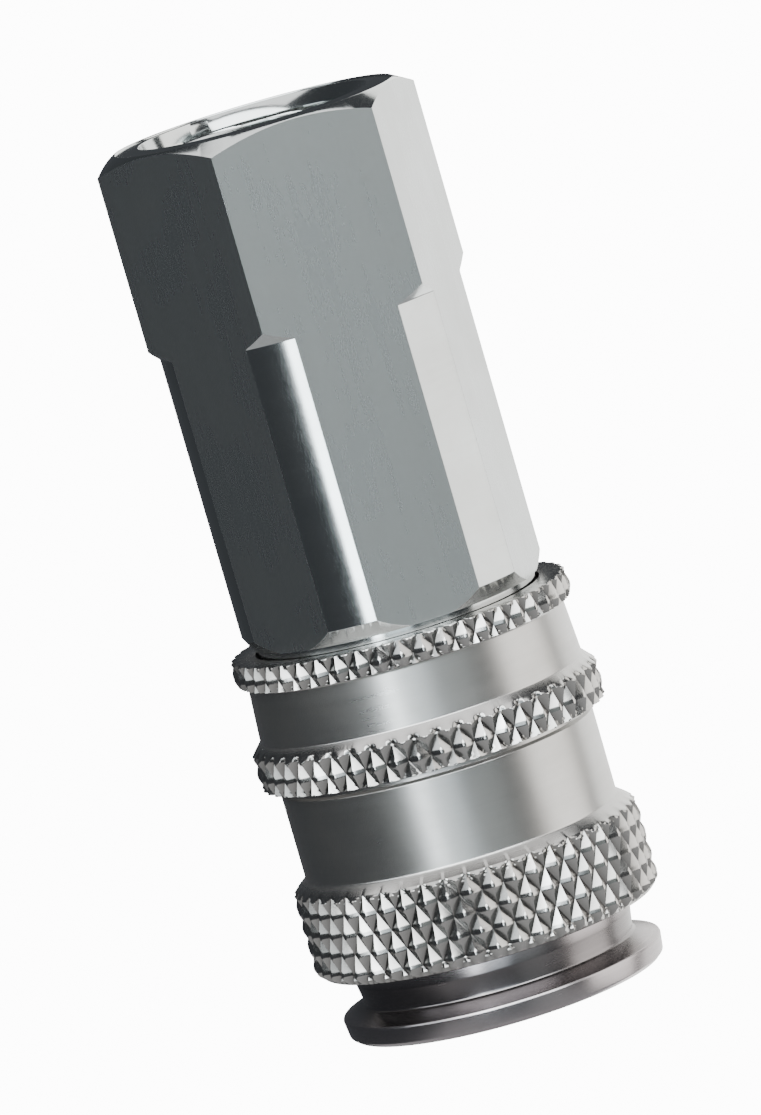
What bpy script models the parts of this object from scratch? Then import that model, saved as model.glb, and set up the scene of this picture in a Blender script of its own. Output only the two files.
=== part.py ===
"""Quick disconnect coupler: the socket half of a one-handed air-line coupling.

Metres, +Z up. The coupler's axis is the Z axis. The nose, where the plug goes in, stands on
z = 0, and the threaded hose port faces up. It is modelled unplugged, with its sleeve held back.
The constants below are millimetres, and are turned into metres where a shape is made.
"""
import math

import bmesh
import bpy
from mathutils import Matrix, Vector

MM = 0.001
SEGMENTS = 36
OVERCUT = 1.0
NAME = "quick_disconnect_coupler"

# Rear body: hexagon bar, turned down in front, with the hose port in its rear end
TOTAL_LENGTH = 66.4
HEX_ACROSS_FLATS = 21.0
HEX_START = 52.0
HEX_FACE_RADIUS = 10.2
HEX_CORNER_RADIUS = 12.3
HEX_CHAMFER_SLOPE = math.tan(math.radians(30.0))
TURNED_RADIUS = 11.2
TURNED_START = 30.5
SPIGOT_RADIUS = 10.35
SPIGOT_FRONT = 25.3
SPIGOT_SHOULDER = 29.4
BODY_THREAD_RADIUS = 9.3
CHAMBER_FRONT = 33.3
CHAMBER_RADIUS = 8.6
CHAMBER_REAR = 49.5
PASSAGE_RADIUS = 6.6
PORT_RADIUS = 7.475
PORT_MOUTH_RADIUS = 8.5
PORT_START = 52.4

# Front barrel: nose flange, collar, ball cage and threaded tail
NOSE_RADIUS = 11.9
NOSE_THICKNESS = 1.8
COLLAR_RADIUS = 10.3
COLLAR_REAR = 5.1
BARREL_RADIUS = 8.8
CAGE_FRONT = 5.9
BARREL_THREAD_RADIUS = 9.2
BARREL_REAR = 33.0
SOCKET_RADIUS = 6.15
SOCKET_MOUTH_RADIUS = 7.3
VALVE_BORE_RADIUS = 7.0
VALVE_BORE_FRONT = 10.3

# Locking balls in their tapered holes
BALL_COUNT = 6
BALL_RADIUS = 2.0
BALL_HEIGHT = 7.5
BALL_CIRCLE_RADIUS = 8.17
BALL_TRAVEL = 1.2
BALL_HOLE_RADIUS = 2.1
BALL_HOLE_CLEARANCE = 0.06
BALL_SEAT_RADIUS = 6.1

# Release sleeve: knurled front band, waist, second knurled band, tapered groove, rear flange
SLEEVE_FRONT = 5.0
SLEEVE_REAR = 28.9
KNURL_RADIUS = 12.9
FRONT_BAND_REAR = 11.6
WAIST_RADIUS = 11.65
SECOND_BAND_FRONT = 19.2
SECOND_BAND_REAR = 22.1
SECOND_BAND_UNDERCUT = 11.45
GROOVE_FRONT_RADIUS = 12.3
GROOVE_REAR_RADIUS = 11.75
GROOVE_REAR = 26.9
REAR_FLANGE_RADIUS = 12.6
RELIEF_RADIUS = 10.45
LAND_RADIUS = 9.22
LAND_FRONT = 10.4
LAND_REAR = 14.5
RAMP_SLOPE = math.tan(math.radians(30.0))
SPRING_CHAMBER_RADIUS = 10.6

# Valve: front ring, cupped tube, head with its guide stem
RING_RADIUS = 6.05
RING_BORE_RADIUS = 4.75
RING_REAR = 10.9
CUP_RADIUS = 6.85
CUP_FRONT = 10.6
CUP_REAR = 16.2
POCKET_RADIUS = 6.15
POCKET_FLOOR = 12.75
TUBE_RADIUS = 5.4
TUBE_BORE_RADIUS = 4.1
WINDOW_WIDTH = 3.4
WINDOW_BOTTOM = 25.2
WINDOW_TOP = 29.8
HEAD_RADIUS = 7.6
HEAD_FRONT = 34.4
HEAD_REAR = 36.0
HEAD_PLUG_RADIUS = 4.0
HEAD_PLUG_FRONT = 30.6
HEAD_BOSS_RADIUS = 3.4
HEAD_BOSS_REAR = 38.0
STEM_RADIUS = 1.8
STEM_REAR = 46.5

# Spring retainer: a perforated plate with a guide hub
RETAINER_RADIUS = 8.4
RETAINER_FRONT = 47.9
RETAINER_REAR = 49.3
HUB_RADIUS = 3.0
HUB_FRONT = 44.9
HUB_BORE_RADIUS = 1.95
AIR_HOLE_COUNT = 6
AIR_HOLE_RADIUS = 1.75
AIR_HOLE_CIRCLE = 4.95
AIR_HOLE_SIDES = 14

# Grooves: bottom radius, low face, high face
VALVE_GROOVE = (5.55, 13.7, 15.3)
BODY_GROOVE = (8.0, 30.1, 31.7)

# Round seals: centre-line radius, section radius, height
PLUG_SEAL = (5.32, 0.74, 11.8)
VALVE_O_RING = (6.27, 0.70, 14.5)
BODY_O_RING = (8.65, 0.62, 30.9)
SEAL_SIDES = 6

# Flat rings: inner radius, outer radius, low face, high face
THRUST_WASHER = (9.05, 10.4, 14.6, 15.4)
HEAD_SEAL = (4.15, 7.85, 33.1, 34.3)

# Springs: mean radius, wire radius, lowest and highest point, turns
SLEEVE_SPRING = (9.62, 0.5, 15.45, 25.25, 5)
VALVE_SPRING = (5.2, 0.45, 36.05, 47.85, 7)
POINTS_PER_TURN = 12

# Name: colour, metallic, roughness
MATERIALS = {
    "nickel_body": ((0.56, 0.56, 0.55), 1.0, 0.30),
    "nickel_barrel": ((0.50, 0.48, 0.47), 1.0, 0.28),
    "nickel_sleeve": ((0.60, 0.60, 0.58), 1.0, 0.26),
    "hard_steel": ((0.62, 0.62, 0.63), 1.0, 0.12),
    "spring_steel": ((0.42, 0.42, 0.44), 1.0, 0.30),
    "valve_brass": ((0.72, 0.53, 0.26), 1.0, 0.30),
    "retainer_brass": ((0.70, 0.52, 0.27), 1.0, 0.35),
    "nitrile_rubber": ((0.02, 0.02, 0.02), 0.0, 0.60),
}


def clear_scene():
    for obj in list(bpy.data.objects):
        bpy.data.objects.remove(obj, do_unlink=True)


def make_collection(name):
    collection = bpy.data.collections.new(name)
    bpy.context.scene.collection.children.link(collection)
    return collection


def make_material(name):
    colour, metallic, roughness = MATERIALS[name]
    mat = bpy.data.materials.new(name)
    mat.use_nodes = True
    shader = mat.node_tree.nodes["Principled BSDF"]
    shader.inputs["Base Color"].default_value = (*colour, 1.0)
    shader.inputs["Metallic"].default_value = metallic
    shader.inputs["Roughness"].default_value = roughness
    mat.diffuse_color = (*colour, 1.0)
    return mat


def add_part(name, data, mat):
    obj = bpy.data.objects.new(name, data)
    obj.data.materials.append(mat)
    parts.objects.link(obj)
    return obj


def turned(name, outline, mat, closed=True):
    """Turn an outline of (radius, height) points, down the outer side and back up the bore."""
    mesh = bpy.data.meshes.new(name)
    verts = [(radius * MM, 0.0, height * MM) for radius, height in outline]
    edges = [(i, i + 1) for i in range(len(verts) - 1)]
    if closed:
        edges.append((len(verts) - 1, 0))
    mesh.from_pydata(verts, edges, [])
    obj = add_part(name, mesh, mat)
    screw = obj.modifiers.new("turn", "SCREW")
    screw.axis = "Z"
    screw.steps = SEGMENTS
    screw.render_steps = SEGMENTS
    screw.use_smooth_shade = True
    screw.use_merge_vertices = True
    screw.merge_threshold = 1e-6
    return obj


def flat_ring(name, size, mat):
    inner, outer, low, high = size
    return turned(name, [(outer, high), (outer, low), (inner, low), (inner, high)], mat)


def round_seal(name, size, mat):
    centre_radius, section_radius, height = size
    outline = []
    for i in range(SEAL_SIDES):
        angle = math.pi / SEAL_SIDES - math.tau * i / SEAL_SIDES
        radius = centre_radius + section_radius * math.cos(angle)
        outline.append((radius, height + section_radius * math.sin(angle)))
    return turned(name, outline, mat)


def coil_spring(name, size, mat):
    mean_radius, wire_radius, low, high, turns = size
    curve = bpy.data.curves.new(name, "CURVE")
    curve.dimensions = "3D"
    curve.bevel_depth = wire_radius * MM
    curve.bevel_resolution = 2
    curve.use_fill_caps = True
    count = turns * POINTS_PER_TURN + 1
    spline = curve.splines.new("POLY")
    spline.points.add(count - 1)
    bottom = low + wire_radius
    rise = high - low - 2.0 * wire_radius
    for i, point in enumerate(spline.points):
        angle = math.tau * i / POINTS_PER_TURN
        x = mean_radius * math.cos(angle)
        y = mean_radius * math.sin(angle)
        z = bottom + rise * i / (count - 1)
        point.co = (x * MM, y * MM, z * MM, 1.0)
    return add_part(name, curve, mat)


def add_cutter(name, bm):
    mesh = bpy.data.meshes.new(name)
    bm.to_mesh(mesh)
    bm.free()
    obj = bpy.data.objects.new(name, mesh)
    obj.hide_render = True
    obj.display_type = "WIRE"
    cutters.objects.link(obj)
    return obj


def radial_axes(angle):
    """Matrix that lays a cone's own axis along the radius at this angle."""
    return Matrix.Rotation(angle, 4, "Z") @ Matrix.Rotation(math.pi / 2.0, 4, "Y")


def combine(target, cutter, operation):
    boolean = target.modifiers.new(cutter.name, "BOOLEAN")
    boolean.operation = operation
    boolean.object = cutter
    boolean.solver = "EXACT"


def ball_angles():
    return [math.radians(30.0 + 360.0 * i / BALL_COUNT) for i in range(BALL_COUNT)]


def hexagon_bar():
    bm = bmesh.new()
    corner_radius = HEX_ACROSS_FLATS / 2.0 / math.cos(math.pi / 6.0)
    middle = Matrix.Translation(Vector((0.0, 0.0, TOTAL_LENGTH / 2.0 * MM)))
    turn = Matrix.Rotation(math.pi / 6.0, 4, "Z")
    bmesh.ops.create_cone(
        bm, cap_ends=True, segments=6, radius1=corner_radius * MM, radius2=corner_radius * MM,
        depth=(TOTAL_LENGTH + 4.0 * OVERCUT) * MM, matrix=middle @ turn)
    return add_cutter("hexagon_bar", bm)


def rear_body():
    chamfer_drop = (HEX_CORNER_RADIUS - HEX_FACE_RADIUS) * HEX_CHAMFER_SLOPE
    shoulder = (HEX_CORNER_RADIUS - TURNED_RADIUS) / 2.0
    outline = [
        (HEX_FACE_RADIUS, TOTAL_LENGTH),
        (HEX_CORNER_RADIUS, TOTAL_LENGTH - chamfer_drop),
        (HEX_CORNER_RADIUS, HEX_START + shoulder),
        (TURNED_RADIUS, HEX_START - shoulder),
        (TURNED_RADIUS, TURNED_START),
        (SPIGOT_RADIUS + 0.25, SPIGOT_SHOULDER),
        (SPIGOT_RADIUS, SPIGOT_SHOULDER),
        (SPIGOT_RADIUS, SPIGOT_FRONT),
        (BODY_THREAD_RADIUS, SPIGOT_FRONT),
        (BODY_THREAD_RADIUS, CHAMBER_FRONT),
        (CHAMBER_RADIUS, CHAMBER_FRONT),
        (CHAMBER_RADIUS, CHAMBER_REAR),
        (PASSAGE_RADIUS, CHAMBER_REAR),
        (PASSAGE_RADIUS, PORT_START - (PORT_RADIUS - PASSAGE_RADIUS)),
        (PORT_RADIUS, PORT_START),
        (PORT_RADIUS, TOTAL_LENGTH - (PORT_MOUTH_RADIUS - PORT_RADIUS)),
        (PORT_MOUTH_RADIUS, TOTAL_LENGTH),
    ]
    obj = turned("rear_body", outline, make_material("nickel_body"))
    combine(obj, hexagon_bar(), "INTERSECT")


def ball_hole(index, angle):
    """A radial hole whose inner end tapers, so that the ball shows inside but can't fall in."""
    tangent_radius = BALL_RADIUS + BALL_HOLE_CLEARANCE
    inward_centre = BALL_CIRCLE_RADIUS - BALL_TRAVEL
    reach = inward_centre - BALL_SEAT_RADIUS
    seat_radius = math.sqrt(tangent_radius ** 2 - reach ** 2)
    taper = reach / seat_radius
    wide_at = BALL_SEAT_RADIUS + (BALL_HOLE_RADIUS - seat_radius) / taper
    narrow_at = BALL_SEAT_RADIUS - 1.2
    narrow_radius = seat_radius - 1.2 * taper
    outer_end = COLLAR_RADIUS + OVERCUT
    bm = bmesh.new()
    centre = Matrix.Translation(Vector((0.0, 0.0, BALL_HEIGHT * MM)))
    turn = centre @ radial_axes(angle)
    cone_middle = Matrix.Translation(Vector((0.0, 0.0, (wide_at + narrow_at) / 2.0 * MM)))
    bmesh.ops.create_cone(
        bm, cap_ends=True, segments=18, radius1=narrow_radius * MM, radius2=BALL_HOLE_RADIUS * MM,
        depth=(wide_at - narrow_at) * MM, matrix=turn @ cone_middle)
    top = [f for f in bm.faces if len(f.verts) > 4]
    direction = turn.to_3x3() @ Vector((0.0, 0.0, 1.0))
    outer_face = max(top, key=lambda f: f.calc_center_median().dot(direction))
    extruded = bmesh.ops.extrude_face_region(bm, geom=[outer_face])
    moved = [v for v in extruded["geom"] if isinstance(v, bmesh.types.BMVert)]
    bmesh.ops.translate(bm, verts=moved, vec=direction * (outer_end - wide_at) * MM)
    bmesh.ops.delete(bm, geom=[outer_face], context="FACES_ONLY")
    bmesh.ops.recalc_face_normals(bm, faces=bm.faces)
    return add_cutter(f"ball_hole_{index}", bm)


def front_barrel():
    groove_radius, groove_low, groove_high = BODY_GROOVE
    outline = [
        (BARREL_THREAD_RADIUS - 0.25, BARREL_REAR),
        (BARREL_THREAD_RADIUS, BARREL_REAR - 0.25),
        (BARREL_THREAD_RADIUS, groove_high),
        (groove_radius, groove_high),
        (groove_radius, groove_low),
        (BARREL_THREAD_RADIUS, groove_low),
        (BARREL_THREAD_RADIUS, SPIGOT_FRONT + 0.4),
        (BARREL_RADIUS, SPIGOT_FRONT),
        (BARREL_RADIUS, CAGE_FRONT),
        (COLLAR_RADIUS, COLLAR_REAR),
        (COLLAR_RADIUS, NOSE_THICKNESS),
        (NOSE_RADIUS - 0.3, NOSE_THICKNESS),
        (NOSE_RADIUS, NOSE_THICKNESS - 0.3),
        (NOSE_RADIUS, 0.5),
        (NOSE_RADIUS - 0.5, 0.0),
        (SOCKET_MOUTH_RADIUS, 0.0),
        (SOCKET_RADIUS, SOCKET_MOUTH_RADIUS - SOCKET_RADIUS),
        (SOCKET_RADIUS, VALVE_BORE_FRONT),
        (VALVE_BORE_RADIUS, VALVE_BORE_FRONT),
        (VALVE_BORE_RADIUS, BARREL_REAR),
    ]
    obj = turned("front_barrel", outline, make_material("nickel_barrel"))
    for index, angle in enumerate(ball_angles(), start=1):
        combine(obj, ball_hole(index, angle), "DIFFERENCE")


def release_sleeve():
    ramp_front = LAND_FRONT - (RELIEF_RADIUS - LAND_RADIUS) / RAMP_SLOPE
    outline = [
        (REAR_FLANGE_RADIUS - 0.35, SLEEVE_REAR),
        (REAR_FLANGE_RADIUS, SLEEVE_REAR - 0.35),
        (REAR_FLANGE_RADIUS, GROOVE_REAR + 0.35),
        (REAR_FLANGE_RADIUS - 0.3, GROOVE_REAR + 0.1),
        (GROOVE_REAR_RADIUS, GROOVE_REAR),
        (GROOVE_FRONT_RADIUS, SECOND_BAND_REAR),
        (KNURL_RADIUS, SECOND_BAND_REAR - 0.4),
        (KNURL_RADIUS, SECOND_BAND_FRONT + 0.4),
        (KNURL_RADIUS - 0.3, SECOND_BAND_FRONT + 0.1),
        (SECOND_BAND_UNDERCUT, SECOND_BAND_FRONT),
        (WAIST_RADIUS, SECOND_BAND_FRONT - 0.6),
        (WAIST_RADIUS, FRONT_BAND_REAR + 0.2),
        (KNURL_RADIUS - 0.4, FRONT_BAND_REAR),
        (KNURL_RADIUS, FRONT_BAND_REAR - 0.5),
        (KNURL_RADIUS, SLEEVE_FRONT + 0.6),
        (KNURL_RADIUS - 0.5, SLEEVE_FRONT),
        (RELIEF_RADIUS + 0.25, SLEEVE_FRONT),
        (RELIEF_RADIUS, SLEEVE_FRONT + 0.25),
        (RELIEF_RADIUS, ramp_front),
        (LAND_RADIUS, LAND_FRONT),
        (LAND_RADIUS, LAND_REAR),
        (SPRING_CHAMBER_RADIUS, LAND_REAR),
        (SPRING_CHAMBER_RADIUS, SLEEVE_REAR),
    ]
    turned("release_sleeve", outline, make_material("nickel_sleeve"))


def locking_balls():
    steel = make_material("hard_steel")
    bm = bmesh.new()
    bmesh.ops.create_uvsphere(bm, u_segments=14, v_segments=10, radius=BALL_RADIUS * MM)
    mesh = bpy.data.meshes.new("locking_ball")
    bm.to_mesh(mesh)
    bm.free()
    mesh.shade_smooth()
    mesh.materials.append(steel)
    for index, angle in enumerate(ball_angles(), start=1):
        ball = bpy.data.objects.new(f"locking_ball_{index}", mesh)
        radius = BALL_CIRCLE_RADIUS * MM
        ball.location = (radius * math.cos(angle), radius * math.sin(angle), BALL_HEIGHT * MM)
        parts.objects.link(ball)


def valve_front_ring(brass):
    outline = [
        (RING_RADIUS, RING_REAR),
        (RING_RADIUS, BALL_HEIGHT),
        (RING_RADIUS - 0.35, BALL_HEIGHT),
        (RING_BORE_RADIUS, BALL_HEIGHT + 0.95),
        (RING_BORE_RADIUS, RING_REAR),
    ]
    turned("valve_front_ring", outline, brass)


def valve_tube(brass):
    groove_radius, groove_low, groove_high = VALVE_GROOVE
    outline = [
        (TUBE_RADIUS, BARREL_REAR),
        (TUBE_RADIUS, CUP_REAR),
        (CUP_RADIUS - 0.25, CUP_REAR),
        (CUP_RADIUS, CUP_REAR - 0.25),
        (CUP_RADIUS, groove_high),
        (groove_radius, groove_high),
        (groove_radius, groove_low),
        (CUP_RADIUS, groove_low),
        (CUP_RADIUS, CUP_FRONT + 0.25),
        (CUP_RADIUS - 0.25, CUP_FRONT),
        (POCKET_RADIUS, CUP_FRONT),
        (POCKET_RADIUS, POCKET_FLOOR),
        (TUBE_BORE_RADIUS, POCKET_FLOOR),
        (TUBE_BORE_RADIUS, BARREL_REAR),
    ]
    obj = turned("valve_tube", outline, brass)
    long_side = 2.0 * (CUP_RADIUS + 2.0 * OVERCUT)
    middle = Matrix.Translation(Vector((0.0, 0.0, (WINDOW_BOTTOM + WINDOW_TOP) / 2.0 * MM)))
    height = WINDOW_TOP - WINDOW_BOTTOM
    for name, width, depth in (("window_x", long_side, WINDOW_WIDTH),
                               ("window_y", WINDOW_WIDTH, long_side)):
        bm = bmesh.new()
        size = Matrix.Diagonal((width * MM, depth * MM, height * MM, 1.0))
        bmesh.ops.create_cube(bm, size=1.0, matrix=middle @ size)
        combine(obj, add_cutter(name, bm), "DIFFERENCE")


def valve_head(brass):
    outline = [
        (0.0, STEM_REAR),
        (STEM_RADIUS - 0.3, STEM_REAR),
        (STEM_RADIUS, STEM_REAR - 0.3),
        (STEM_RADIUS, HEAD_BOSS_REAR),
        (HEAD_BOSS_RADIUS - 0.4, HEAD_BOSS_REAR),
        (HEAD_BOSS_RADIUS, HEAD_BOSS_REAR - 0.4),
        (HEAD_BOSS_RADIUS, HEAD_REAR),
        (HEAD_RADIUS - 0.2, HEAD_REAR),
        (HEAD_RADIUS, HEAD_REAR - 0.2),
        (HEAD_RADIUS, HEAD_FRONT),
        (HEAD_PLUG_RADIUS, HEAD_FRONT),
        (HEAD_PLUG_RADIUS, HEAD_PLUG_FRONT + 0.2),
        (HEAD_PLUG_RADIUS - 0.2, HEAD_PLUG_FRONT),
        (0.0, HEAD_PLUG_FRONT),
    ]
    turned("valve_head", outline, brass, closed=False)


def spring_retainer():
    outline = [
        (RETAINER_RADIUS, RETAINER_REAR),
        (RETAINER_RADIUS, RETAINER_FRONT),
        (HUB_RADIUS, RETAINER_FRONT),
        (HUB_RADIUS, HUB_FRONT),
        (HUB_BORE_RADIUS, HUB_FRONT),
        (HUB_BORE_RADIUS, RETAINER_REAR),
    ]
    obj = turned("spring_retainer", outline, make_material("retainer_brass"))
    middle = (RETAINER_FRONT + RETAINER_REAR) / 2.0
    for i in range(AIR_HOLE_COUNT):
        angle = math.tau * i / AIR_HOLE_COUNT
        x = AIR_HOLE_CIRCLE * math.cos(angle)
        y = AIR_HOLE_CIRCLE * math.sin(angle)
        bm = bmesh.new()
        bmesh.ops.create_cone(
            bm, cap_ends=True, segments=AIR_HOLE_SIDES, radius1=AIR_HOLE_RADIUS * MM,
            radius2=AIR_HOLE_RADIUS * MM, depth=(RETAINER_REAR - RETAINER_FRONT + 2.0 * OVERCUT) * MM,
            matrix=Matrix.Translation(Vector((x, y, middle)) * MM))
        combine(obj, add_cutter(f"air_hole_{i + 1}", bm), "DIFFERENCE")


def seals_and_springs():
    rubber = make_material("nitrile_rubber")
    round_seal("plug_seal", PLUG_SEAL, rubber)
    round_seal("valve_o_ring", VALVE_O_RING, rubber)
    round_seal("body_o_ring", BODY_O_RING, rubber)
    flat_ring("valve_head_seal", HEAD_SEAL, rubber)
    steel = make_material("spring_steel")
    flat_ring("sleeve_thrust_washer", THRUST_WASHER, steel)
    coil_spring("sleeve_spring", SLEEVE_SPRING, steel)
    coil_spring("valve_spring", VALVE_SPRING, steel)


clear_scene()
parts = make_collection(NAME)
cutters = make_collection("cutters")
rear_body()
front_barrel()
release_sleeve()
locking_balls()
valve_brass = make_material("valve_brass")
valve_front_ring(valve_brass)
valve_tube(valve_brass)
valve_head(valve_brass)
spring_retainer()
seals_and_springs()
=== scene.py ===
"""Looks of the quick disconnect coupler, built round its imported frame.

Lengths in the tables and outlines are millimetres, measured up from the nose face along the
coupler's axis, and turned into metres where a mesh is made. An outline corner is
(radius, height, fillet).
"""
import math

import bmesh
import bpy
from mathutils import Matrix, Vector


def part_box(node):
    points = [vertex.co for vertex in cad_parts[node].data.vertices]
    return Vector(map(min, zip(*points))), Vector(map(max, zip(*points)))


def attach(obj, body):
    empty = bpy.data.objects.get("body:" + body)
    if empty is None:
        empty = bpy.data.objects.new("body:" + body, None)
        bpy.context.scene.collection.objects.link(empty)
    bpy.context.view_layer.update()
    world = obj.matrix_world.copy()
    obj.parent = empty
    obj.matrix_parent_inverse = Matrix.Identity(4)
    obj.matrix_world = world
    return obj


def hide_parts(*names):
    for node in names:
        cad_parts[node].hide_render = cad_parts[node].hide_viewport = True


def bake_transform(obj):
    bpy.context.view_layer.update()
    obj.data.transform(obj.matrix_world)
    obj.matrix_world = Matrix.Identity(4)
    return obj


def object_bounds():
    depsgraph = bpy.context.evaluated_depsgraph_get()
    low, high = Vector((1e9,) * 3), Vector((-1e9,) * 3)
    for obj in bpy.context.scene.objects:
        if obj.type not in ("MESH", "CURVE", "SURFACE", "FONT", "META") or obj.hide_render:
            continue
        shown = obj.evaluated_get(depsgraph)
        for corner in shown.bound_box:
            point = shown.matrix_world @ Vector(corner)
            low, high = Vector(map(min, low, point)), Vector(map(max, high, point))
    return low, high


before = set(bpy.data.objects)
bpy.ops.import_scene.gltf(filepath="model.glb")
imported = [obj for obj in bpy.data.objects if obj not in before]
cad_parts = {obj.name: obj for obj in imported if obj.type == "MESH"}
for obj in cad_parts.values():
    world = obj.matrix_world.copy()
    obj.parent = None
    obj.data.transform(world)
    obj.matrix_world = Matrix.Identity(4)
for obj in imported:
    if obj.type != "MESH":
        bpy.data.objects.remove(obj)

CAD_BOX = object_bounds()
MM = 0.001
TURN_STEPS = 192


def low(node):
    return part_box(node)[0].z / MM


def high(node):
    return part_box(node)[1].z / MM


def outer(node):
    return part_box(node)[1].y / MM


# ---------------------------------------------------------------- mesh tools

WELD = 1e-6               # metres within which two points are one
LONGEST_FILLET = 0.48     # share of a straight that one fillet may take
SAME_REACH = 1e-4         # millimetres of radius that make no crease


def new_object(name, verts, faces):
    mesh = bpy.data.meshes.new(name)
    mesh.from_pydata(verts, [], faces)
    mesh.update()
    obj = bpy.data.objects.new(name, mesh)
    bpy.context.scene.collection.objects.link(obj)
    return obj


def smooth(obj, angle=35.0):
    """Smooth shading with a crease wherever faces meet at more than this many degrees."""
    obj.data.shade_smooth()
    obj.data.set_sharp_from_angle(angle=math.radians(angle))
    normals = obj.modifiers.new("even_normals", "WEIGHTED_NORMAL")
    normals.keep_sharp = True


def add_weights(obj, name, values):
    """One number per vertex, for the materials to read."""
    attribute = obj.data.attributes.new(name, "FLOAT", "POINT")
    attribute.data.foreach_set("value", values)


def rounded(corners, closed=True, arc=4):
    """Outline points (radius, height), with an arc at each corner that has a fillet."""
    points = []
    count = len(corners)
    for i, (radius, height, fillet) in enumerate(corners):
        here = Vector((radius, height))
        at_end = not closed and i in (0, count - 1)
        if fillet == 0.0 or at_end:
            points.append((radius, height))
            continue
        before = Vector(corners[i - 1][:2]) - here
        after = Vector(corners[(i + 1) % count][:2]) - here
        reach = fillet / math.tan(before.angle(after) / 2.0)
        start = here + before.normalized() * min(reach, LONGEST_FILLET * before.length)
        end = here + after.normalized() * min(reach, LONGEST_FILLET * after.length)
        for k in range(arc + 1):
            t = k / arc
            point = start.lerp(here, t).lerp(here.lerp(end, t), t)
            points.append((point.x, point.y))
    return points


def ring_faces(rows, steps, closed):
    """Quads between rows of vertices that each go once round the axis."""
    faces = []
    for i in range(rows if closed else rows - 1):
        a = i * steps
        b = (i + 1) % rows * steps
        for k in range(steps):
            n = (k + 1) % steps
            faces.append((a + n, a + k, b + k, b + n))
    return faces


def follow_creases(faces, reach):
    """Split each uneven quad along the diagonal that a crease or a groove's floor runs along."""
    split = []
    for a, b, c, d in faces:
        slope = abs(reach[a] - reach[c]) - abs(reach[b] - reach[d])
        sink = reach[a] + reach[c] - reach[b] - reach[d]
        choice = slope if abs(slope) > SAME_REACH else sink
        if abs(choice) < SAME_REACH:
            split.append((a, b, c, d))
        elif choice < 0.0:
            split += [(a, b, c), (a, c, d)]
        else:
            split += [(a, b, d), (b, c, d)]
    return split


def lathe(name, outline, steps=TURN_STEPS, ripple=None):
    """Turn an outline that runs down the outer side and back up the bore.

    ripple(angle, radius, height) gives the radius at an angle, for the thread and the knurl.
    An outline that starts and ends on the axis gets one point at each end."""
    solid = outline[0][0] == 0.0 and outline[-1][0] == 0.0
    rows = outline[1:-1] if solid else outline
    verts = []
    reach = []
    for radius, height in rows:
        for k in range(steps):
            angle = math.tau * k / steps
            r = ripple(angle, radius, height) if ripple else radius
            reach.append(r)
            verts.append((r * math.cos(angle) * MM, r * math.sin(angle) * MM, height * MM))
    faces = ring_faces(len(rows), steps, not solid)
    if ripple:
        faces = follow_creases(faces, reach)
    if solid:
        verts += [(0.0, 0.0, outline[0][1] * MM), (0.0, 0.0, outline[-1][1] * MM)]
        top = len(verts) - 2
        last = (len(rows) - 1) * steps
        for k in range(steps):
            n = (k + 1) % steps
            faces.append((top, k, n))
            faces.append((top + 1, last + n, last + k))
    obj = new_object(name, verts, faces)
    smooth(obj)
    return obj


def circle(radius, steps):
    return [(radius * math.cos(math.tau * k / steps), radius * math.sin(math.tau * k / steps))
            for k in range(steps)]


def slot_outline(half_width, length, arc=12):
    """A slot with round ends, its length along x."""
    points = []
    for end in (1.0, -1.0):
        middle = end * (length / 2.0 - half_width)
        for k in range(arc + 1):
            angle = math.pi * k / arc - math.pi / 2.0
            points.append((middle + end * half_width * math.cos(angle),
                           end * half_width * math.sin(angle)))
    return points


def prism(name, outline, depth, matrix):
    """A straight bar with this flat outline, depth long, centred on its own middle."""
    count = len(outline)
    verts = [(x * MM, y * MM, -depth / 2.0 * MM) for x, y in outline]
    verts += [(x * MM, y * MM, depth / 2.0 * MM) for x, y in outline]
    faces = [tuple(reversed(range(count))), tuple(range(count, 2 * count))]
    for k in range(count):
        n = (k + 1) % count
        faces.append((k, n, count + n, count + k))
    obj = new_object(name, verts, faces)
    obj.data.transform(matrix)
    return obj


def lift(x, y, z):
    return Matrix.Translation(Vector((x, y, z)) * MM)


def across_axis(angle, height):
    """Stands a shape made along Z out sideways from the axis, at an angle round it."""
    turn = lift(0.0, 0.0, height) @ Matrix.Rotation(angle, 4, "Z")
    return turn @ Matrix.Rotation(math.pi / 2.0, 4, "Y")


def cut(target, cutter, operation="DIFFERENCE"):
    """Boolean with its result kept as the target's own mesh, and the cutter removed."""
    target.modifiers.clear()
    boolean = target.modifiers.new("cut", "BOOLEAN")
    boolean.operation = operation
    boolean.solver = "EXACT"
    boolean.object = cutter
    bpy.context.view_layer.update()
    evaluated = target.evaluated_get(bpy.context.evaluated_depsgraph_get())
    mesh = bpy.data.meshes.new_from_object(evaluated)
    target.modifiers.clear()
    target.data = mesh
    bpy.data.objects.remove(cutter, do_unlink=True)


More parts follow.
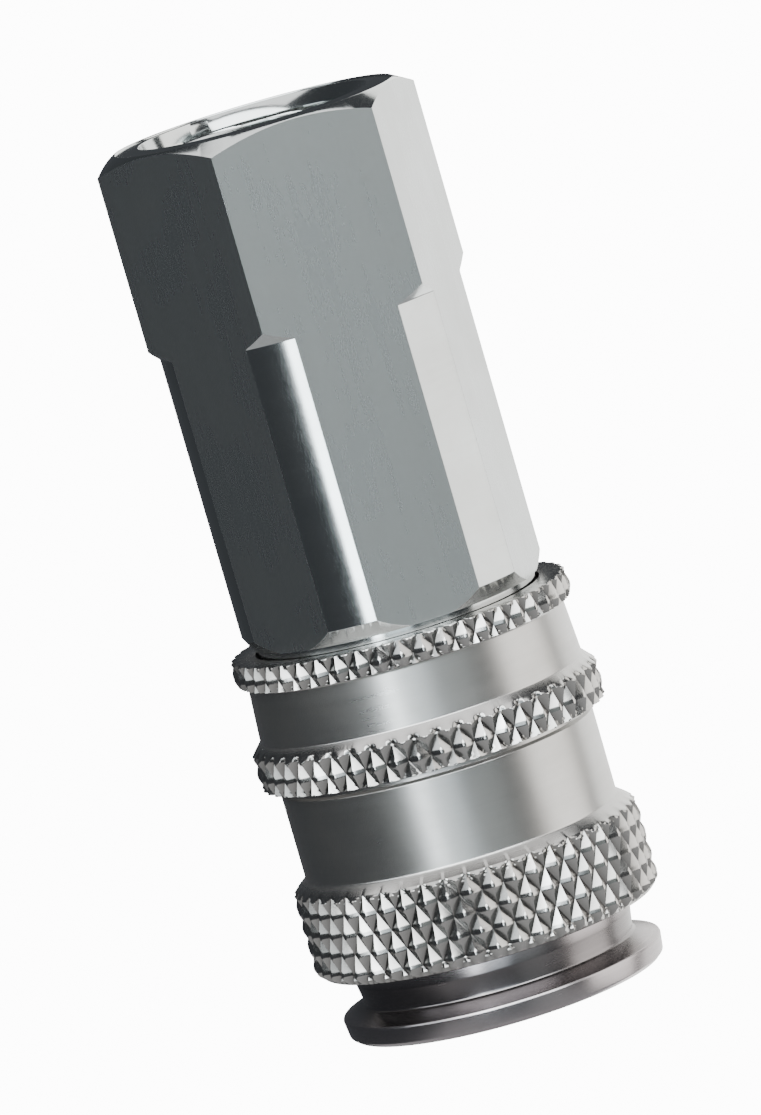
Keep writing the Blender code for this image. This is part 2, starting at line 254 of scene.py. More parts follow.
def wire(name, points, radius):
    """Round wire along points in millimetres, with flat closed ends."""
    curve = bpy.data.curves.new(name, "CURVE")
    curve.dimensions = "3D"
    curve.bevel_depth = radius * MM
    curve.bevel_resolution = 4
    curve.use_fill_caps = True
    spline = curve.splines.new("POLY")
    spline.points.add(len(points) - 1)
    for target, (x, y, z) in zip(spline.points, points):
        target.co = (x * MM, y * MM, z * MM, 1.0)
    made = bpy.data.objects.new(name, curve)
    bpy.context.scene.collection.objects.link(made)
    bpy.context.view_layer.update()
    evaluated = made.evaluated_get(bpy.context.evaluated_depsgraph_get())
    mesh = bpy.data.meshes.new_from_object(evaluated)
    bpy.data.objects.remove(made, do_unlink=True)
    bm = bmesh.new()
    bm.from_mesh(mesh)
    bmesh.ops.remove_doubles(bm, verts=bm.verts, dist=WELD)
    bm.to_mesh(mesh)
    bm.free()
    obj = bpy.data.objects.new(name, mesh)
    bpy.context.scene.collection.objects.link(obj)
    obj.data.shade_smooth()
    obj.data.set_sharp_from_angle(angle=math.radians(50.0))
    return obj


# ---------------------------------------------------------------- materials

class Nodes:
    """A Principled material and short calls for wiring its nodes."""

    def __init__(self, name, colour, metallic, roughness):
        self.mat = bpy.data.materials.new(name)
        self.mat.use_nodes = True
        self.tree = self.mat.node_tree
        self.shader = self.tree.nodes["Principled BSDF"]
        self.colour = (*colour, 1.0)
        self.shader.inputs["Base Color"].default_value = self.colour
        self.shader.inputs["Metallic"].default_value = metallic
        self.shader.inputs["Roughness"].default_value = roughness

    def node(self, kind, inputs=(), **settings):
        node = self.tree.nodes.new(kind)
        for key, value in settings.items():
            setattr(node, key, value)
        for key, value in dict(inputs).items():
            self.feed(node.inputs[key], value)
        return node

    def feed(self, socket, value):
        """Link a socket's value, or set a plain one."""
        if isinstance(value, bpy.types.NodeSocket):
            self.tree.links.new(value, socket)
        else:
            socket.default_value = value

    def set(self, socket, value):
        self.feed(self.shader.inputs[socket], value)

    def math(self, operation, a, b=0.0):
        return self.node("ShaderNodeMath", {0: a, 1: b}, operation=operation).outputs[0]

    def add(self, a, b):
        return self.math("ADD", a, b)

    def times(self, a, b):
        return self.math("MULTIPLY", a, b)

    def scale(self, value, from_low, from_high, to_low, to_high):
        inputs = {"Value": value, "From Min": from_low, "From Max": from_high,
                  "To Min": to_low, "To Max": to_high}
        return self.node("ShaderNodeMapRange", inputs).outputs["Result"]

    def spread(self, noise, to_low, to_high):
        """The range that a noise really fills, stretched from to_low to to_high."""
        return self.scale(noise, 0.3, 0.7, to_low, to_high)

    def peaks(self, noise, most):
        """Nothing, except at a noise's highest places."""
        return self.scale(noise, 0.62, 0.78, 0.0, most)

    def noise(self, vector, scale, detail=3.0, rough=0.5):
        inputs = {"Vector": vector, "Scale": scale, "Detail": detail, "Roughness": rough}
        return self.node("ShaderNodeTexNoise", inputs).outputs["Fac"]

    def place(self):
        return self.node("ShaderNodeTexCoord").outputs["Object"]

    def stretched(self, scale_x, scale_y, scale_z):
        inputs = {"Vector": self.place(), "Scale": (scale_x, scale_y, scale_z)}
        return self.node("ShaderNodeMapping", inputs).outputs["Vector"]

    def polar(self, radial, around, along):
        """Coordinates that follow a turned surface: radius, angle and height."""
        parts = self.node("ShaderNodeSeparateXYZ", {0: self.place()}).outputs
        square = self.add(self.math("POWER", parts[0], 2.0), self.math("POWER", parts[1], 2.0))
        radius = self.times(self.math("SQRT", square), radial)
        angle = self.times(self.math("ARCTAN2", parts[1], parts[0]), around)
        height = self.times(parts[2], along)
        return self.node("ShaderNodeCombineXYZ", {0: radius, 1: angle, 2: height}).outputs[0]

    def mix(self, fac, a, b):
        node = self.node("ShaderNodeMix", data_type="RGBA")
        sockets = [s for s in node.inputs if s.enabled]
        for socket, value in zip(sockets, (fac, a, b)):
            self.feed(socket, value)
        return [s for s in node.outputs if s.enabled][0]

    def attribute(self, name):
        return self.node("ShaderNodeAttribute", attribute_name=name).outputs["Fac"]

    def bump(self, height, strength, distance, below=None):
        inputs = {"Height": height, "Strength": strength, "Distance": distance}
        if below is not None:
            inputs["Normal"] = below
        return self.node("ShaderNodeBump", inputs).outputs["Normal"]


def grey(value, warmth=0.0):
    return (value * (1.0 + warmth), value, value * (1.0 - warmth), 1.0)


def tint(colour, value, warmth):
    """The colour made darker by value, and shifted towards red by warmth."""
    red, green, blue = colour
    return (red * value * (1.0 + warmth), green * value, blue * value * (1.0 - warmth), 1.0)


# colour of the painted shade in the knurl's grooves and on the barrel's neck
PAINTED_SHADE_COLOUR = (0.03, 0.028, 0.026, 1.0)
FACET_POLISH = -0.12


def plated(name, colour, roughness, marks=0.5, shade_amount=0.0):
    """A turned metal surface: fine rings, soft handling marks, painted shade in the recesses.

    The knurl's cut facets are smoother than the turned surface round them."""
    m = Nodes(name, colour, 1.0, roughness)
    rings = m.noise(m.polar(3400.0, 0.3, 3400.0), 1.0, 3.0, 0.55)
    coarse = m.noise(m.polar(900.0, 0.5, 900.0), 1.0, 2.0)
    cloud = m.noise(m.place(), 140.0, 4.0, 0.6)
    spots = m.noise(m.place(), 900.0, 2.0, 0.5)
    light = m.mix(m.spread(cloud, 0.0, 1.0), m.colour, tint(colour, 0.88, 0.02))
    light = m.mix(m.spread(rings, 0.0, 0.16), light, tint(colour, 0.72, 0.0))
    light = m.mix(m.peaks(spots, 0.10), light, tint(colour, 0.62, 0.05))
    rough = m.add(m.spread(cloud, roughness - 0.02, roughness + 0.04),
                  m.scale(rings, 0.25, 0.75, -0.015, 0.02))
    # painted shade: the metal is darkened where the vertex weight is high, in the knurl's
    # grooves and on the barrel's neck under the sleeve
    if shade_amount:
        painted_shade = m.math("POWER", m.attribute("painted_shade"), 2.0)
        light = m.mix(m.times(painted_shade, shade_amount), light, PAINTED_SHADE_COLOUR)
        rough = m.add(rough, m.times(m.attribute("knurl"), FACET_POLISH))
    m.set("Base Color", light)
    m.set("Roughness", rough)
    slow = m.bump(coarse, 0.05 * marks, 0.00005)
    m.set("Normal", m.bump(rings, 0.12 * marks, 0.000004, slow))
    m.set("Anisotropic", 0.15)
    m.set("Tangent", m.node("ShaderNodeTangent", direction_type="RADIAL", axis="Z").outputs[0])
    return m.mat


def drawn(name, colour, roughness):
    """Nickel on drawn hexagon bar: faint marks run lengthwise on the satin flats.

    Where the bar is turned, the marks are rings and the surface is brighter."""
    m = Nodes(name, colour, 1.0, roughness)
    streaks = m.noise(m.stretched(2600.0, 2600.0, 45.0), 1.0, 4.0, 0.6)
    rings = m.noise(m.polar(3000.0, 0.4, 2600.0), 1.0, 3.0, 0.5)
    cloud = m.noise(m.place(), 120.0, 5.0, 0.62)
    spots = m.noise(m.place(), 1100.0, 2.0, 0.5)
    flat = m.attribute("flat")
    marks = m.mix(flat, rings, streaks)
    light = m.mix(m.spread(cloud, 0.0, 1.0), m.colour, tint(colour, 0.86, 0.015))
    light = m.mix(m.spread(marks, 0.0, 0.10), light, tint(colour, 0.74, 0.0))
    light = m.mix(m.peaks(spots, 0.08), light, tint(colour, 0.6, 0.05))
    satin = m.scale(flat, 0.0, 1.0, roughness * 0.45, roughness)
    rough = m.add(m.add(satin, m.spread(cloud, -0.015, 0.025)),
                  m.scale(marks, 0.25, 0.75, -0.01, 0.015))
    m.set("Base Color", light)
    m.set("Roughness", rough)
    slow = m.bump(cloud, 0.05, 0.0002)
    m.set("Normal", m.bump(marks, 0.08, 0.000003, slow))
    return m.mat


def rubber(name):
    m = Nodes(name, (0.018, 0.018, 0.019), 0.0, 0.55)
    cloud = m.noise(m.place(), 700.0, 4.0, 0.6)
    grain = m.noise(m.place(), 9000.0, 3.0, 0.6)
    m.set("Base Color", m.mix(cloud, (0.012, 0.012, 0.013, 1.0), (0.032, 0.031, 0.03, 1.0)))
    m.set("Roughness", m.spread(cloud, 0.46, 0.66))
    m.set("Normal", m.bump(grain, 0.25, 0.00002))
    return m.mat


def drawn_wire(name):
    m = Nodes(name, (0.42, 0.42, 0.44), 1.0, 0.3)
    cloud = m.noise(m.place(), 500.0, 4.0, 0.6)
    grain = m.noise(m.place(), 5000.0, 3.0, 0.6)
    m.set("Base Color", m.mix(cloud, grey(0.30, 0.03), grey(0.52)))
    m.set("Roughness", m.spread(grain, 0.22, 0.42))
    m.set("Normal", m.bump(grain, 0.2, 0.00001))
    return m.mat


def polished(name):
    m = Nodes(name, (0.66, 0.66, 0.67), 1.0, 0.1)
    cloud = m.noise(m.place(), 1200.0, 4.0, 0.6)
    m.set("Base Color", m.mix(cloud, grey(0.58), grey(0.70)))
    m.set("Roughness", m.spread(cloud, 0.06, 0.2))
    return m.mat


NICKEL_BODY = drawn("nickel_body", (0.53, 0.555, 0.555), 0.27)
# the last argument sets how dark the painted shade gets: on the barrel's neck, and in the
# sleeve's knurl grooves
NICKEL_BARREL = plated("nickel_barrel", (0.38, 0.355, 0.365), 0.24, shade_amount=0.5)
NICKEL_SLEEVE = plated("nickel_sleeve", (0.47, 0.465, 0.455), 0.29, marks=0.6, shade_amount=0.4)
BRASS = plated("valve_brass", (0.72, 0.53, 0.26), 0.28)
RETAINER_BRASS = plated("retainer_brass", (0.70, 0.52, 0.27), 0.34)
BALL_STEEL = polished("hard_steel")
SPRING_STEEL = drawn_wire("spring_steel")
NITRILE = rubber("nitrile_rubber")


def show(obj, node, mat):
    """The visual piece takes the CAD node's place, in one material."""
    obj.data.materials.clear()
    obj.data.materials.append(mat)
    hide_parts(node)


def finish_piece(obj, node, body, mat):
    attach(obj, body)
    show(obj, node, mat)


# ---------------------------------------------------------------- rear body

PORT_TOP = high("rear_body")
PORT_PITCH = 1.337
PORT_MINOR = 14.95 / 2.0
PORT_MAJOR = 16.66 / 2.0
PORT_FLOOR = 52.4
PORT_CHAMFER = 1.05       # depth of the cone at the port's mouth
THREAD_START = PORT_FLOOR + 0.4
THREAD_END = PORT_TOP - 0.6
THREAD_RUN_IN = 1.5       # height over which the thread reaches its full depth
ROWS_PER_PITCH = 10
OUTSIDE = 9.5             # every edge beyond this radius is an outer one
EDGE_ROUND = 0.14


def thread(angle, radius, height):
    """Rounded thread cut outwards from the port's minor radius."""
    in_port = radius < PORT_MINOR + 0.06 and THREAD_START < height < THREAD_END
    if not in_port:
        return radius
    wave = 0.5 - 0.5 * math.cos(math.tau * (height / PORT_PITCH - angle / math.tau))
    run_in = min(1.0, (height - THREAD_START) / THREAD_RUN_IN)
    return radius + (PORT_MAJOR - PORT_MINOR) * run_in * wave ** 0.8


def soften_outside(obj, radius, width):
    """Round the edges where the flats meet the turned surfaces."""
    bm = bmesh.new()
    bm.from_mesh(obj.data)
    bmesh.ops.remove_doubles(bm, verts=bm.verts, dist=2.0 * WELD)
    edges = []
    for edge in bm.edges:
        outside = all(v.co.xy.length > radius for v in edge.verts)
        if outside and len(edge.link_faces) == 2 and edge.calc_face_angle() > math.radians(9.0):
            edges.append(edge)
    bmesh.ops.bevel(bm, geom=edges, offset=width, segments=3, profile=0.5, affect="EDGES",
                    clamp_overlap=True)
    bm.to_mesh(obj.data)
    bm.free()


def mark_flats(obj, across):
    """Attribute "flat": 1 on the hexagon's flats, 0 on turned surfaces."""
    weights = []
    for vertex in obj.data.vertices:
        x, y, _ = vertex.co
        reach = max(abs(x * math.cos(a) + y * math.sin(a))
                    for a in (math.pi / 6.0, math.pi / 2.0, math.pi * 5.0 / 6.0))
        weights.append(1.0 if reach > across - 2.0 * WELD else 0.0)
    add_weights(obj, "flat", weights)


def rear_body():
    front = low("rear_body")
    across = outer("rear_body")
    outline = rounded([
        (10.2, PORT_TOP, 0.15),
        (12.3, PORT_TOP - 1.21, 0.0),
        (12.3, 52.55, 0.0),
        (11.2, 51.45, 0.25),
        (11.2, 30.5, 0.12),
        (10.6, 29.4, 0.0),
        (10.35, 29.4, 0.0),
        (10.35, front, 0.1),
        (9.3, front, 0.1),
        (9.3, 33.3, 0.1),
        (8.6, 33.3, 0.1),
        (8.6, 49.5, 0.1),
        (6.6, 49.5, 0.2),
        (6.6, PORT_FLOOR - 0.9, 0.1),
        (PORT_MINOR, PORT_FLOOR, 0.1)])
    mouth = PORT_TOP - PORT_CHAMFER
    rows = int((PORT_TOP - PORT_FLOOR) / PORT_PITCH * ROWS_PER_PITCH)
    for k in range(1, rows):
        outline.append((PORT_MINOR, PORT_FLOOR + (mouth - PORT_FLOOR) * k / rows))
    outline += rounded([
        (PORT_MINOR, mouth, 0.0),
        (8.5, PORT_TOP - 0.03, 0.1),
        (10.2, PORT_TOP, 0.0)], closed=False)[:-1]
    obj = lathe("rear_body_visual", outline, ripple=thread)
    hexagon = circle(across / math.cos(math.pi / 6.0), 6)
    bar = prism("hexagon_bar", hexagon, 2.0 * PORT_TOP, lift(0.0, 0.0, PORT_TOP / 2.0))
    cut(obj, bar, "INTERSECT")
    soften_outside(obj, OUTSIDE * MM, EDGE_ROUND * MM)
    smooth(obj, 40.0)
    mark_flats(obj, across * MM)
    finish_piece(obj, "rear_body", "body", NICKEL_BODY)


# ---------------------------------------------------------------- sleeve

KNURL_TEETH = 48
KNURL_STEPS = 12
KNURL_DEPTH = 0.48
KNURL_FLAT = 0.10         # share of a tooth that its flat tip takes
KNURL_LEAN = math.tan(math.radians(30.0))
BAND_RADIUS = 12.0        # the knurled bands lie outside this radius
BAND_MARGIN = 0.01


def knurl_height(turn, rise):
    """Height of a diamond knurl from 0 in its grooves to 1 on its flat tips."""
    u = (turn + rise) % 1.0
    v = (turn - rise) % 1.0
    groove = max(abs(u - 0.5), abs(v - 0.5)) * 2.0
    return min(1.0, (1.0 - groove) / (1.0 - KNURL_FLAT))


def divided(start, end, row, lands):
    """Start, then a point at each whole row before end where there is a knurl.

    Whole rows keep the grid's diagonals on the knurl's grooves."""
    points = [start]
    drop = start[1] - end[1]
    on_land = any(bottom - BAND_MARGIN <= end[1] and start[1] <= top + BAND_MARGIN
                  for bottom, top, _ in lands)
    if on_land and min(start[0], end[0]) > BAND_RADIUS and drop > 0.3:
        first = math.floor((start[1] - 0.04) / row)
        last = math.ceil((end[1] + 0.04) / row)
        for k in range(first, last - 1, -1):
            share = (start[1] - k * row) / drop
            points.append((start[0] + (end[0] - start[0]) * share, k * row))
    return points


def release_sleeve():
    front = low("release_sleeve")
    rear = high("release_sleeve")
    tip = outer("release_sleeve")
    root = tip - KNURL_DEPTH + 0.05
    lands = ((front, 11.6, tip), (19.2, 22.25, tip), (26.9, rear, 12.6))
    period = math.tau * tip / KNURL_TEETH / KNURL_LEAN
    row = period / KNURL_STEPS
    outside = rounded([
        (10.6, rear, 0.0),
        (12.6, rear, 0.4),
        (12.6, 27.05, 0.2),
        (11.75, 26.95, 0.2),
        (12.02, 22.75, 0.2),
        (root, 22.25, 0.1),
        (tip, 21.8, 0.3),
        (tip, 19.3, 0.3),
        (11.45, 19.25, 0.15),
        (11.45, 18.85, 0.12),
        (11.65, 18.65, 0.12),
        (11.65, 12.25, 0.3),
        (root, 11.6, 0.1),
        (tip, 11.2, 0.3),
        (tip, front + 0.55, 0.5),
        (12.3, front, 0.3),
        (11.1, front, 0.1)], closed=False)
    inside = rounded([
        (11.1, front, 0.0),
        (10.45, front + 0.6, 0.1),
        (10.45, 8.27, 0.1),
        (9.22, 10.4, 0.1),
        (9.22, 14.5, 0.1),
        (10.6, 14.5, 0.1),
        (10.6, rear, 0.0)], closed=False)[1:-1]
    outside = [p for pair in zip(outside, outside[1:]) for p in divided(*pair, row, lands)]
    outline = outside + [(11.1, front)] + inside
    painted_shade = []
    facets = []

    def knurled(angle, radius, height):
        for bottom, top, land_tip in lands:
            on_land = bottom - BAND_MARGIN <= height <= top + BAND_MARGIN
            if radius > BAND_RADIUS + 0.1 and on_land:
                turn = angle * KNURL_TEETH / math.tau
                rise = KNURL_DEPTH * knurl_height(turn, height / period)
                cut_to = land_tip - KNURL_DEPTH + rise
                # painted shade: a weight that grows with the groove's depth and darkens the
                # knurl's grooves
                painted_shade.append(max(0.0, min(1.0, (land_tip - cut_to) / KNURL_DEPTH)))
                facets.append(1.0)
                return min(radius, cut_to)
        painted_shade.append(0.0)
        facets.append(0.0)
        return radius

    obj = lathe("release_sleeve_visual", outline, KNURL_TEETH * KNURL_STEPS, knurled)
    add_weights(obj, "painted_shade", painted_shade)
    add_weights(obj, "knurl", facets)
    finish_piece(obj, "release_sleeve", "sleeve", NICKEL_SLEEVE)


# ---------------------------------------------------------------- barrel and balls

BALLS = 6
BALL_RADIUS = 2.0
BALL_HOLE_STEPS = 32
NECK_FRONT = 1.9          # painted shade lies on the neck between these two heights
NECK_REAR = 4.8
NECK_RADIUS = 9.8         # and outside this radius


def front_barrel():
    rear = high("front_barrel")
    rim = outer("front_barrel")
    obj = lathe("front_barrel_visual", rounded([
        (8.95, rear, 0.05),
        (9.2, rear - 0.25, 0.05),
        (9.2, 31.7, 0.1),
        (8.0, 31.7, 0.15),
        (8.0, 30.1, 0.15),
        (9.2, 30.1, 0.1),
        (9.2, 25.7, 0.1),
        (8.8, 25.3, 0.1),
        (8.8, 5.9, 0.3),
        (10.3, 5.1, 0.15),
        (10.3, 3.9, 0.3),
        (10.05, 2.3, 0.3),
        (rim - 0.05, 1.62, 0.15),
        (rim, 1.45, 0.1),
        (rim - 0.14, 0.3, 0.2),
        (rim - 0.5, 0.0, 0.2),
        (7.3, 0.0, 0.15),
        (6.15, 1.15, 0.3),
        (6.15, 10.3, 0.1),
        (7.0, 10.3, 0.1),
        (7.0, rear, 0.25)]))
    ball_z = (low("locking_ball_1") + high("locking_ball_1")) / 2.0
    tapered = [(0.0, 12.0), (2.1, 12.0), (2.1, 6.6), (1.3, 4.9), (0.0, 4.9)]
    for index in range(BALLS):
        hole = lathe("ball_hole", tapered, BALL_HOLE_STEPS)
        hole.modifiers.clear()
        hole.data.transform(across_axis(math.radians(30.0 + 60.0 * index), ball_z))
        cut(obj, hole)
    smooth(obj, 30.0)
    # painted shade on the neck just in front of the sleeve, where the sleeve's front edge shades
    # it
    neck_shade = []
    for vertex in obj.data.vertices:
        between = NECK_FRONT * MM < vertex.co.z < NECK_REAR * MM
        neck_shade.append(1.0 if between and vertex.co.xy.length > NECK_RADIUS * MM else 0.0)
    add_weights(obj, "painted_shade", neck_shade)
    finish_piece(obj, "front_barrel", "body", NICKEL_BARREL)


def locking_balls():
    for number in range(1, BALLS + 1):
        node = f"locking_ball_{number}"
        corner_low, corner_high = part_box(node)
        bm = bmesh.new()
        bmesh.ops.create_icosphere(bm, subdivisions=4, radius=BALL_RADIUS * MM)
        mesh = bpy.data.meshes.new(node + "_visual")
        bm.to_mesh(mesh)
        bm.free()
        mesh.shade_smooth()
        ball = bpy.data.objects.new(node + "_visual", mesh)
        bpy.context.scene.collection.objects.link(ball)
        ball.location = (corner_low + corner_high) / 2.0
        finish_piece(ball, node, f"ball_{number}", BALL_STEEL)


# ---------------------------------------------------------------- valve

WINDOW_MIDDLE = 27.5
WINDOW_HALF_WIDTH = 1.7
WINDOW_LENGTH = 4.6
HUB_FACE = 47.9           # the retainer's plate lies above this height
AIR_HOLES = 6
AIR_HOLE_RADIUS = 1.75
AIR_HOLE_CIRCLE = 4.95


def valve_front_ring():
    front = low("valve_front_ring")
    rear = high("valve_front_ring")
    obj = lathe("valve_front_ring_visual", rounded([
        (6.05, rear, 0.1),
        (6.05, front, 0.12),
        (5.7, front, 0.12),
        (4.75, front + 0.95, 0.2),
        (4.75, rear, 0.1)]))
    finish_piece(obj, "valve_front_ring", "valve", BRASS)


def valve_tube():
    front = low("valve_tube")
    rear = high("valve_tube")
    obj = lathe("valve_tube_visual", rounded([
        (5.4, rear, 0.1),
        (5.4, 16.2, 0.25),
        (6.85, 16.2, 0.2),
        (6.85, 15.3, 0.1),
        (5.55, 15.3, 0.15),
        (5.55, 13.7, 0.15),
        (6.85, 13.7, 0.1),
        (6.85, front, 0.2),
        (6.15, front, 0.05),
        (6.15, 12.75, 0.1),
        (4.1, 12.75, 0.2),
        (4.1, rear, 0.1)]))
    window = slot_outline(WINDOW_HALF_WIDTH, WINDOW_LENGTH)
    for quarter in range(2):
        turn = across_axis(quarter * math.pi / 2.0, WINDOW_MIDDLE)
        cut(obj, prism("window", window, 18.0, turn))
    smooth(obj, 30.0)
    finish_piece(obj, "valve_tube", "valve", BRASS)


def valve_head():
    front = low("valve_head")
    rear = high("valve_head")
    obj = lathe("valve_head_visual", rounded([
        (0.0, rear, 0.0),
        (1.8, rear, 0.35),
        (1.8, 38.0, 0.3),
        (3.4, 38.0, 0.4),
        (3.4, 36.0, 0.3),
        (7.6, 36.0, 0.25),
        (7.6, 34.4, 0.15),
        (4.0, 34.4, 0.1),
        (4.0, front, 0.2),
        (0.0, front, 0.0)], closed=False))
    finish_piece(obj, "valve_head", "valve", BRASS)


def spring_retainer():
    rear = high("spring_retainer")
    hub = low("spring_retainer")
    obj = lathe("spring_retainer_visual", rounded([
        (8.4, rear, 0.2),
        (8.4, HUB_FACE, 0.2),
        (3.0, HUB_FACE, 0.35),
        (3.0, hub, 0.3),
        (1.95, hub, 0.15),
        (1.95, rear, 0.25)]))
    for k in range(AIR_HOLES):
        angle = math.tau * k / AIR_HOLES
        place = lift(AIR_HOLE_CIRCLE * math.cos(angle), AIR_HOLE_CIRCLE * math.sin(angle), 48.6)
        cut(obj, prism("air_hole", circle(AIR_HOLE_RADIUS, 48), 4.0, place))
    smooth(obj, 30.0)
    finish_piece(obj, "spring_retainer", "body", RETAINER_BRASS)


# ---------------------------------------------------------------- seals, washer, springs

SEAL_SIDES = 32
SEAL_FLASH = 0.03         # moulding line round the inside and outside of an O-ring
WIRE_STEPS = 36
WIRE_GAP = 0.04           # between an end turn and the wire above it


def round_seals():
    for node, body, section in (("plug_seal", "valve", 0.74), ("valve_o_ring", "valve", 0.70),
                                ("body_o_ring", "body", 0.62)):
        middle = (low(node) + high(node)) / 2.0
        centre = outer(node) - section
        outline = []
        for k in range(SEAL_SIDES):
            angle = -math.tau * (k + 0.5) / SEAL_SIDES
            reach = section * 0.96 + SEAL_FLASH * (abs(math.cos(angle)) > 0.99)
            outline.append((centre + reach * math.cos(angle), middle + reach * math.sin(angle)))
        seal = lathe(node + "_visual", outline)
        finish_piece(seal, node, body, NITRILE)


def flat_rings():
    seal = "valve_head_seal"
    ring = lathe(seal + "_visual", rounded([
        (7.85, high(seal), 0.2),
        (7.85, low(seal), 0.3),
        (4.15, low(seal), 0.2),
        (4.15, high(seal), 0.2)]))
    finish_piece(ring, seal, "valve", NITRILE)
    washer = "sleeve_thrust_washer"
    ring = lathe(washer + "_visual", rounded([
        (10.4, high(washer), 0.12),
        (10.4, low(washer), 0.2),
        (9.05, low(washer), 0.12),
        (9.05, high(washer), 0.2)]))
    finish_piece(ring, washer, "sleeve_carrier", SPRING_STEEL)


def spring(node, mean, wire_radius, turns):
    """Compression spring with flat end turns, from the body behind it to a moving body."""
    bottom = low(node) + wire_radius
    top = high(node) - wire_radius
    dead = 2.0 * wire_radius + WIRE_GAP
    total = turns + 2
    points = []
    for k in range(total * WIRE_STEPS + 1):
        turn = k / WIRE_STEPS
        if turn < 1.0:
            z = bottom + dead * turn ** 2
        elif turn > total - 1.0:
            z = top - dead * (total - turn) ** 2
        else:
            z = bottom + dead + (top - bottom - 2.0 * dead) * (turn - 1.0) / turns
        angle = math.tau * turn
        points.append((mean * math.cos(angle), mean * math.sin(angle), z))
    obj = wire(node + "_visual", points, wire_radius)
    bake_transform(obj)
    show(obj, node, SPRING_STEEL)


# ---------------------------------------------------------------- studio

VIEW_AZIMUTH = math.radians(-12.8)
VIEW_ELEVATION = math.radians(8.0)
VIEW_ROLL = math.radians(-16.2)
LENS = 300.0
SENSOR_HEIGHT = 36.0
FRAME_HEIGHT = 0.080      # metres that the picture's height shows at the coupler
FLOOR_HALF = 1.6
FLOOR_HEIGHT = -1.2
DOME_RADIUS = 2.7
PALE = 0.9
PAINT_GLOW = 14.0
ROOM_COLOUR = (0.90, 0.98, 1.08, 1.0)
ROOM_GLOW = 0.07

# name, azimuth from the camera, elevation, distance, width, height, radiance, colour
SOFTBOXES = (
    ("strip", -19.0, 8.0, 0.6, 0.085, 0.56, 12.0, (0.88, 0.96, 1.0)),
    ("front", -2.0, 6.0, 0.66, 0.24, 0.60, 2.1, (0.82, 0.94, 1.0)),
    ("above_front", 0.0, 35.0, 0.6, 0.95, 0.38, 8.0, (0.95, 0.99, 1.0)),
    ("left_high", -62.0, 27.0, 0.6, 0.34, 0.24, 3.2, (0.90, 0.97, 1.0)),
    ("front_fill", 27.0, -4.0, 0.7, 0.30, 0.60, 0.40, (0.90, 1.0, 1.0)),
    ("right", 84.0, 6.0, 0.6, 0.50, 0.80, 3.2, (1.0, 0.98, 0.94)),
    ("back_right", 146.0, -6.0, 0.6, 0.60, 1.10, 2.7, (0.99, 0.99, 0.96)),
    ("top", 0.0, 88.0, 0.6, 0.8, 0.7, 2.4, (1.0, 1.0, 1.0)),
    ("below", 0.0, -88.0, 0.6, 2.0, 2.0, 0.55, (1.0, 1.0, 1.0)),
)


def toward(azimuth, elevation):
    """Unit vector from the coupler to a place round it; azimuth 0 is in front, at -Y."""
    return Vector((math.sin(azimuth) * math.cos(elevation),
                   -math.cos(azimuth) * math.cos(elevation), math.sin(elevation)))


def camera(middle):
    data = bpy.data.cameras.new("camera")
    data.sensor_fit = "VERTICAL"
    data.sensor_height = SENSOR_HEIGHT
    data.lens = LENS
    obj = bpy.data.objects.new("camera", data)
    bpy.context.scene.collection.objects.link(obj)
    direction = toward(VIEW_AZIMUTH, VIEW_ELEVATION)
    obj.location = middle + direction * FRAME_HEIGHT * LENS / SENSOR_HEIGHT
    look = direction.to_track_quat("Z", "Y").to_matrix().to_4x4()
    obj.rotation_euler = (look @ Matrix.Rotation(VIEW_ROLL, 4, "Z")).to_euler()
    bpy.context.scene.camera = obj


def softbox(middle, name, azimuth, elevation, distance, width, height, radiance, colour):
    """A rectangular lamp that faces the coupler and isn't seen by the camera."""
    data = bpy.data.lights.new(name, "AREA")
    data.shape = "RECTANGLE"
    data.size = width
    data.size_y = height
    data.energy = radiance * math.pi * width * height
    data.color = colour
    obj = bpy.data.objects.new(name, data)
    bpy.context.scene.collection.objects.link(obj)
    direction = toward(VIEW_AZIMUTH + math.radians(azimuth), math.radians(elevation))
    obj.location = middle + direction * distance
    obj.rotation_euler = direction.to_track_quat("Z", "Y").to_euler()
    obj.visible_camera = False


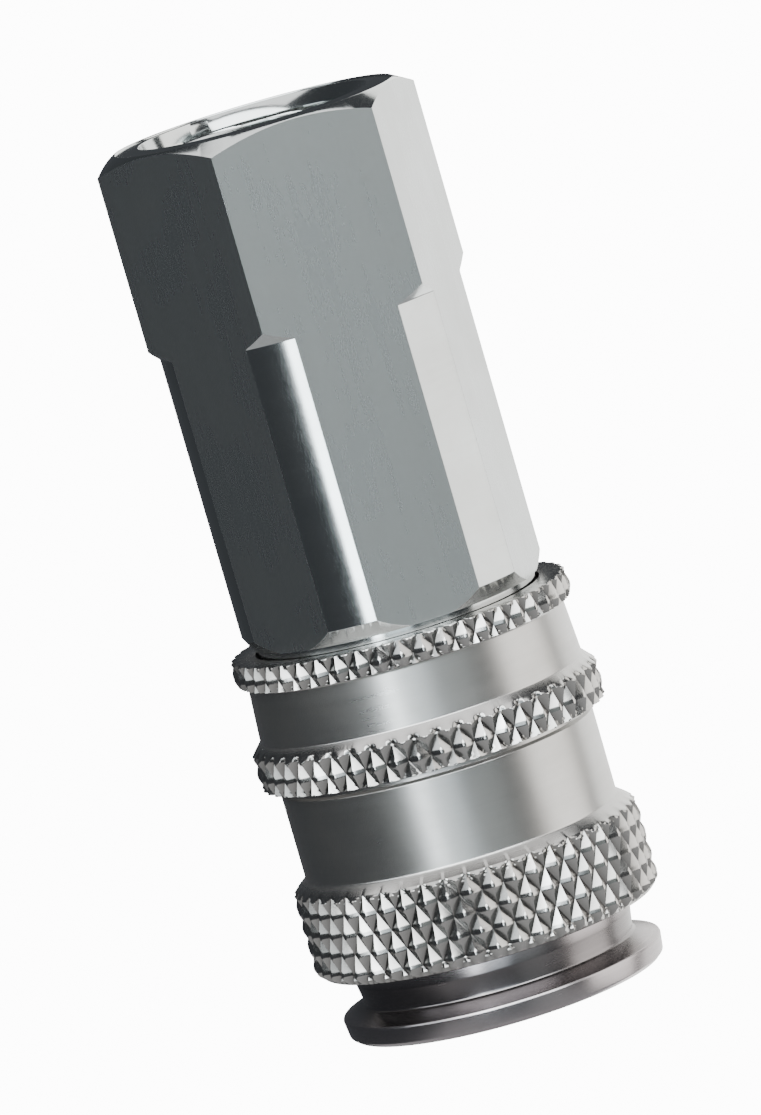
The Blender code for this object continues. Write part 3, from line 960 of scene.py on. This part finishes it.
def room():
    """A dim room round the softboxes."""
    world = bpy.data.worlds.new("studio")
    world.use_nodes = True
    background = world.node_tree.nodes["Background"]
    background.inputs["Color"].default_value = ROOM_COLOUR
    background.inputs["Strength"].default_value = ROOM_GLOW
    bpy.context.scene.world = world


def backdrop(obj, name):
    """Plain bright paint that is seen as itself but isn't mirrored in the metal."""
    m = Nodes(name, (PALE, PALE, PALE), 0.0, 0.8)
    paint = m.mix(m.noise(m.place(), 3.0), grey(PALE * 0.99), grey(PALE))
    m.set("Base Color", paint)
    m.set("Emission Color", paint)
    m.set("Emission Strength", PAINT_GLOW)
    obj.data.materials.append(m.mat)
    obj.visible_glossy = False
    obj.visible_diffuse = False
    obj.visible_shadow = False


def floor_and_backdrop():
    """A floor well below the coupler and a dome round both, so that no view is blocked."""
    corners = [(-FLOOR_HALF, -FLOOR_HALF, 0), (FLOOR_HALF, -FLOOR_HALF, 0),
               (FLOOR_HALF, FLOOR_HALF, 0), (-FLOOR_HALF, FLOOR_HALF, 0)]
    floor = new_object("floor", corners, [(0, 1, 2, 3)])
    floor.location.z = FLOOR_HEIGHT
    backdrop(floor, "pale_floor")
    bm = bmesh.new()
    bmesh.ops.create_uvsphere(bm, u_segments=48, v_segments=24, radius=DOME_RADIUS)
    mesh = bpy.data.meshes.new("backdrop")
    bm.to_mesh(mesh)
    bm.free()
    mesh.shade_smooth()
    dome = bpy.data.objects.new("backdrop", mesh)
    bpy.context.scene.collection.objects.link(dome)
    backdrop(dome, "pale_backdrop")


def studio():
    lowest, highest = CAD_BOX
    middle = (Vector(lowest) + Vector(highest)) / 2.0
    camera(middle)
    room()
    floor_and_backdrop()
    for settings in SOFTBOXES:
        softbox(middle, *settings)


rear_body()
front_barrel()
release_sleeve()
locking_balls()
valve_front_ring()
valve_tube()
valve_head()
spring_retainer()
round_seals()
flat_rings()
spring("sleeve_spring", 9.62, 0.5, 4)
spring("valve_spring", 5.2, 0.45, 5)
studio()

bpy.context.view_layer.update()
